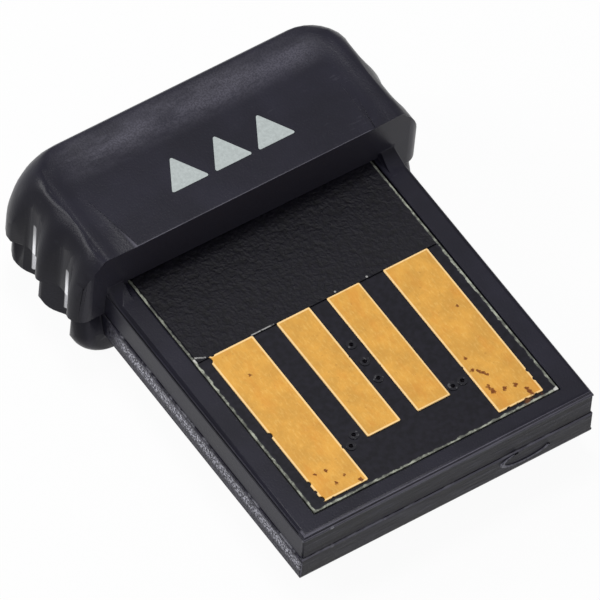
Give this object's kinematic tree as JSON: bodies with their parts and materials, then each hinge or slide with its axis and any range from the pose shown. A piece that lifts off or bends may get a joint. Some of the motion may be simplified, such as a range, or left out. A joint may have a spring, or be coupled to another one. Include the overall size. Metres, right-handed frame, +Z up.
{
  "type": "usb bluetooth adapter",
  "caption": "Tiny wireless adapter: a thin open contact tongue with gilt contacts and a dished grip cap with scalloped sides.",
  "frame": {"origin": "under the middle of the adapter, on the plane that the cap's underside stands on", "axes": "+Z up out of the contact face, +X across the contacts, +Y from the plug tip towards the cap's back"},
  "size_m": [0.0138, 0.0172, 0.0051],
  "materials": {
    "housing": "satin moulded black",
    "board": "black resist",
    "film": "grained black film",
    "gilt": "gold plating with light wear",
    "tin": "tinned",
    "chip": "moulded epoxy",
    "fired_clay": "unglazed ceramic",
    "ferrite": "grey ferrite",
    "capacitor": "tan ceramic"
  },
  "bodies": {
    "root": {"upper_housing": "housing", "lower_housing": "housing", "circuit_board": "board", "cover_film": "film", "plated_holes": "gilt", "outer_contact_left": "gilt", "inner_contact_left": "gilt", "inner_contact_right": "gilt", "outer_contact_right": "gilt", "radio_chip": "chip", "radio_terminals": "tin", "memory_chip": "chip", "memory_terminals": "tin", "voltage_regulator": "chip", "regulator_terminals": "tin", "crystal_case": "fired_clay", "crystal_lid": "tin", "chip_antenna": "fired_clay", "antenna_terminals": "tin", "band_filter": "chip", "filter_terminals": "tin", "ferrite_beads": "ferrite", "bead_terminals": "tin", "capacitors": "capacitor", "capacitor_terminals": "tin", "resistors": "chip", "resistor_terminals": "tin"}
  },
  "joints": []
}
